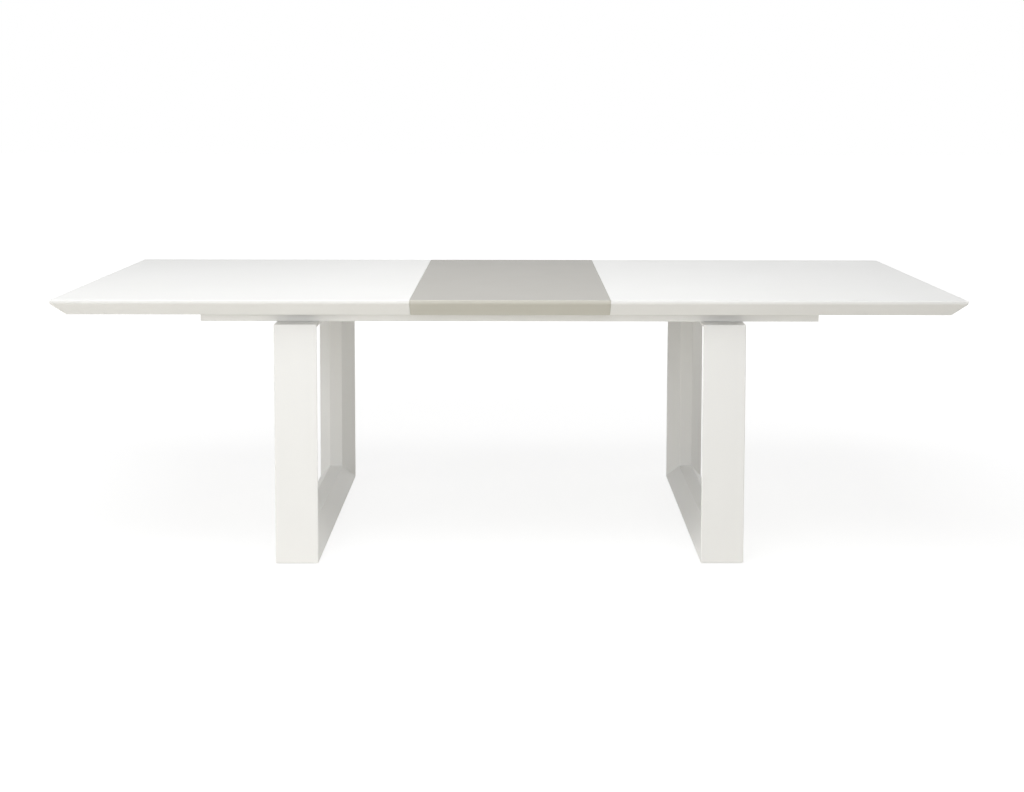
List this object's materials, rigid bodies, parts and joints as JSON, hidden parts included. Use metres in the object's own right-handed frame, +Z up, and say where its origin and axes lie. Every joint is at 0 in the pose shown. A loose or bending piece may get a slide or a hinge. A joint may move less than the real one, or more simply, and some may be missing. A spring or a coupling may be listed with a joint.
{
  "type": "extendable dining table",
  "caption": "White lacquered extending dining table with under-bevelled top, a warm grey drop-in leaf, two closed frame legs and a rack-and-pinion slide.",
  "frame": {"origin": "on the floor, under the middle of the open top", "axes": "+Z up, +X along the table to the right half, +Y from the front to the back"},
  "size_m": [2.531, 1, 0.754],
  "materials": {
    "white_lacquer": "satin white lacquer on fibreboard",
    "taupe_lacquer": "satin warm grey lacquer on fibreboard",
    "beech": "planed beech, clear sealed",
    "aluminium": "extruded, natural anodised",
    "zinc_steel": "bright zinc plated",
    "nylon": "moulded natural nylon",
    "black_rubber": "matt black rubber",
    "felt": "pressed wool felt",
    "bronze": "sintered bronze"
  },
  "bodies": {
    "underframe": {"left_leg_front_post": "white_lacquer", "left_leg_rear_post": "white_lacquer", "left_leg_floor_rail": "white_lacquer", "left_leg_top_rail": "white_lacquer", "right_leg_front_post": "white_lacquer", "right_leg_rear_post": "white_lacquer", "right_leg_floor_rail": "white_lacquer", "right_leg_top_rail": "white_lacquer", "mitre_splines": "beech", "floor_glides": "nylon", "leg_inserts": "zinc_steel", "leg_bolts": "zinc_steel", "front_side_rail": "white_lacquer", "rear_side_rail": "white_lacquer", "left_end_rail": "white_lacquer", "right_end_rail": "white_lacquer", "rail_dowels": "beech", "left_leg_saddle": "zinc_steel", "right_leg_saddle": "zinc_steel", "centre_bridge": "zinc_steel", "saddle_screws": "zinc_steel", "front_guide_channel": "aluminium", "rear_guide_channel": "aluminium", "channel_screws": "zinc_steel", "end_buffers": "black_rubber", "leaf_pads": "felt", "pinion_axle": "zinc_steel", "axle_washer": "zinc_steel", "axle_circlip": "zinc_steel"},
    "left_half": {"left_top_panel": "white_lacquer", "left_front_edging": "white_lacquer", "left_rear_edging": "white_lacquer", "left_end_edging": "white_lacquer", "left_seam_edging": "white_lacquer", "left_battens": "beech", "left_runners": "aluminium", "left_glide_shoes": "nylon", "left_rack": "nylon", "left_seam_plates": "zinc_steel", "left_screws": "zinc_steel"},
    "right_half": {"right_top_panel": "white_lacquer", "right_front_edging": "white_lacquer", "right_rear_edging": "white_lacquer", "right_end_edging": "white_lacquer", "right_seam_edging": "white_lacquer", "right_battens": "beech", "right_runners": "aluminium", "right_glide_shoes": "nylon", "right_rack": "nylon", "right_seam_plates": "zinc_steel", "right_screws": "zinc_steel"},
    "pinion_wheel": {"pinion": "nylon", "pinion_bush": "bronze"},
    "leaf": {"leaf_panel": "taupe_lacquer", "leaf_front_edging": "taupe_lacquer", "leaf_rear_edging": "taupe_lacquer", "leaf_side_edgings": "taupe_lacquer", "leaf_battens": "beech", "leaf_screws": "zinc_steel"}
  },
  "joints": [
    {"name": "right_half_slide", "type": "slide", "parent": "underframe", "child": "right_half", "axis": [1, 0, 0], "range_m": [0, 0.035]},
    {"name": "left_half_slide", "type": "slide", "parent": "underframe", "child": "left_half", "axis": [-1, 0, 0], "range_m": [0, 0.035]},
    {"name": "pinion_spin", "type": "hinge", "parent": "underframe", "child": "pinion_wheel", "pos_m": [0, 0, 0.7], "axis": [0, 0, 1], "range_deg": [0, 80.3]},
    {"name": "leaf_lift", "type": "slide", "parent": "underframe", "child": "leaf", "axis": [0, 0, 1], "range_m": [0, 0.12]}
  ],
  "couplings": [
    {"joint": "left_half_slide", "follows": "right_half_slide", "ratio": 1},
    {"joint": "pinion_spin", "follows": "right_half_slide", "rad_per_m": 40}
  ]
}
